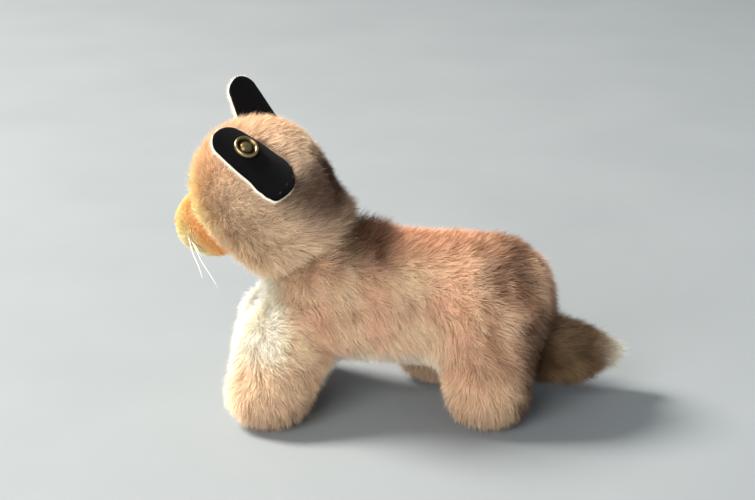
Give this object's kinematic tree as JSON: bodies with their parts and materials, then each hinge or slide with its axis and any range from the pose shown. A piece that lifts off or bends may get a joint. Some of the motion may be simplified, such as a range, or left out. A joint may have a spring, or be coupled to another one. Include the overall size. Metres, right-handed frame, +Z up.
{
  "type": "plush cat",
  "caption": "Small standing plush toy cat with a swivel head, velvet ears, a pale brass ear stud, a sheared muzzle and a sewn-on wired tail.",
  "frame": {"origin": "middle of the bounding box on the floor, under the cat", "axes": "-Y forward to the face, +Y to the tail, +X to the cat's left, +Z up"},
  "size_m": [0.0511, 0.1126, 0.0793],
  "materials": {
    "body_plush": "short mohair pile, pinkish beige to brown",
    "belly_plush": "short mohair pile, cream",
    "tail_plush": "mohair pile, olive brown with a pale tip",
    "head_plush": "short mohair pile, beige",
    "crown_plush": "short mohair pile, peach",
    "muzzle_plush": "closely sheared pile, yellow orange",
    "stuffing": "firmly packed fine wood wool",
    "fibreboard": "pressed fibreboard",
    "wire": "plain drawn",
    "thread": "twisted cotton thread",
    "nose_thread": "satin stitch, light pink",
    "mouth_thread": "twisted cotton thread",
    "whisker_thread": "fine white thread",
    "ear_velvet": "black velvet",
    "ear_lining": "white velvet plush",
    "eye_glass": "polished, painted behind",
    "stud_brass": "pale, lightly worn",
    "ear_thread": "black cotton thread"
  },
  "bodies": {
    "body": {"left_body_panel": "body_plush", "right_body_panel": "body_plush", "belly_gusset": "belly_plush", "body_stuffing": "stuffing", "front_leg_wire": "wire", "hind_leg_wire": "wire", "closing_stitches": "thread", "body_disc": "fibreboard", "body_washer": "wire"},
    "tail": {"tail_skin": "tail_plush", "tail_stuffing": "stuffing", "tail_wire": "wire", "tail_stitches": "thread"},
    "head": {"left_head_panel": "head_plush", "right_head_panel": "head_plush", "crown_panel": "crown_plush", "head_stuffing": "stuffing", "head_disc": "fibreboard", "head_washer": "wire", "neck_pin": "wire", "muzzle_cover": "muzzle_plush", "left_eye": "eye_glass", "right_eye": "eye_glass", "eye_wires": "wire", "nose_stitches": "nose_thread", "mouth_stitches": "mouth_thread", "left_whiskers": "whisker_thread", "right_whiskers": "whisker_thread", "left_ear_back": "ear_velvet", "left_ear_lining": "ear_lining", "right_ear_back": "ear_velvet", "right_ear_lining": "ear_lining", "ear_stitches": "ear_thread", "ear_stud": "stud_brass"}
  },
  "joints": [
    {"name": "neck_swivel", "type": "hinge", "parent": "body", "child": "head", "pos_m": [0, -0.0229, 0.04061], "axis": [0, -0.5, 0.866], "range_deg": [-58, 102]},
    {"name": "tail_sway", "type": "hinge", "parent": "body", "child": "tail", "pos_m": [0, 0.03789, 0.01368], "axis": [0, 0, 1], "range_deg": [-18, 18]}
  ]
}
